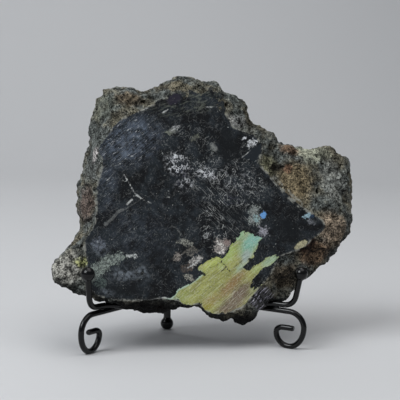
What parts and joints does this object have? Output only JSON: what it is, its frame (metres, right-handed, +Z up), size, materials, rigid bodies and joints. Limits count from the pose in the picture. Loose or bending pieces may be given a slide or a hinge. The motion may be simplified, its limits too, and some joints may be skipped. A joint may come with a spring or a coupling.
{
  "type": "polished nuummite stone on a wire stand",
  "caption": "Dark slab-like stone with one polished face and rough broken sides, leaning on a black wire display stand with scroll feet and ball tips.",
  "frame": {"origin": "on the table under the middle of the part's bounding box", "axes": "+X to the right along the polished face, +Y to the rear, +Z up; the polished face looks along -Y and leans back 15 degrees"},
  "size_m": [0.1736, 0.0658, 0.1416],
  "materials": {
    "nuummite": "blue-black stone, polished on its front face with an iridescent yellow-green patch, rough grey-brown elsewhere",
    "stand_paint": "satin black paint"
  },
  "bodies": {
    "root": {"stone": "nuummite", "left_leg": "stand_paint", "right_leg": "stand_paint", "left_arm": "stand_paint", "right_arm": "stand_paint", "left_arm_ball": "stand_paint", "right_arm_ball": "stand_paint", "back_post": "stand_paint", "back_post_ball": "stand_paint", "rear_foot_ball": "stand_paint"}
  },
  "joints": []
}
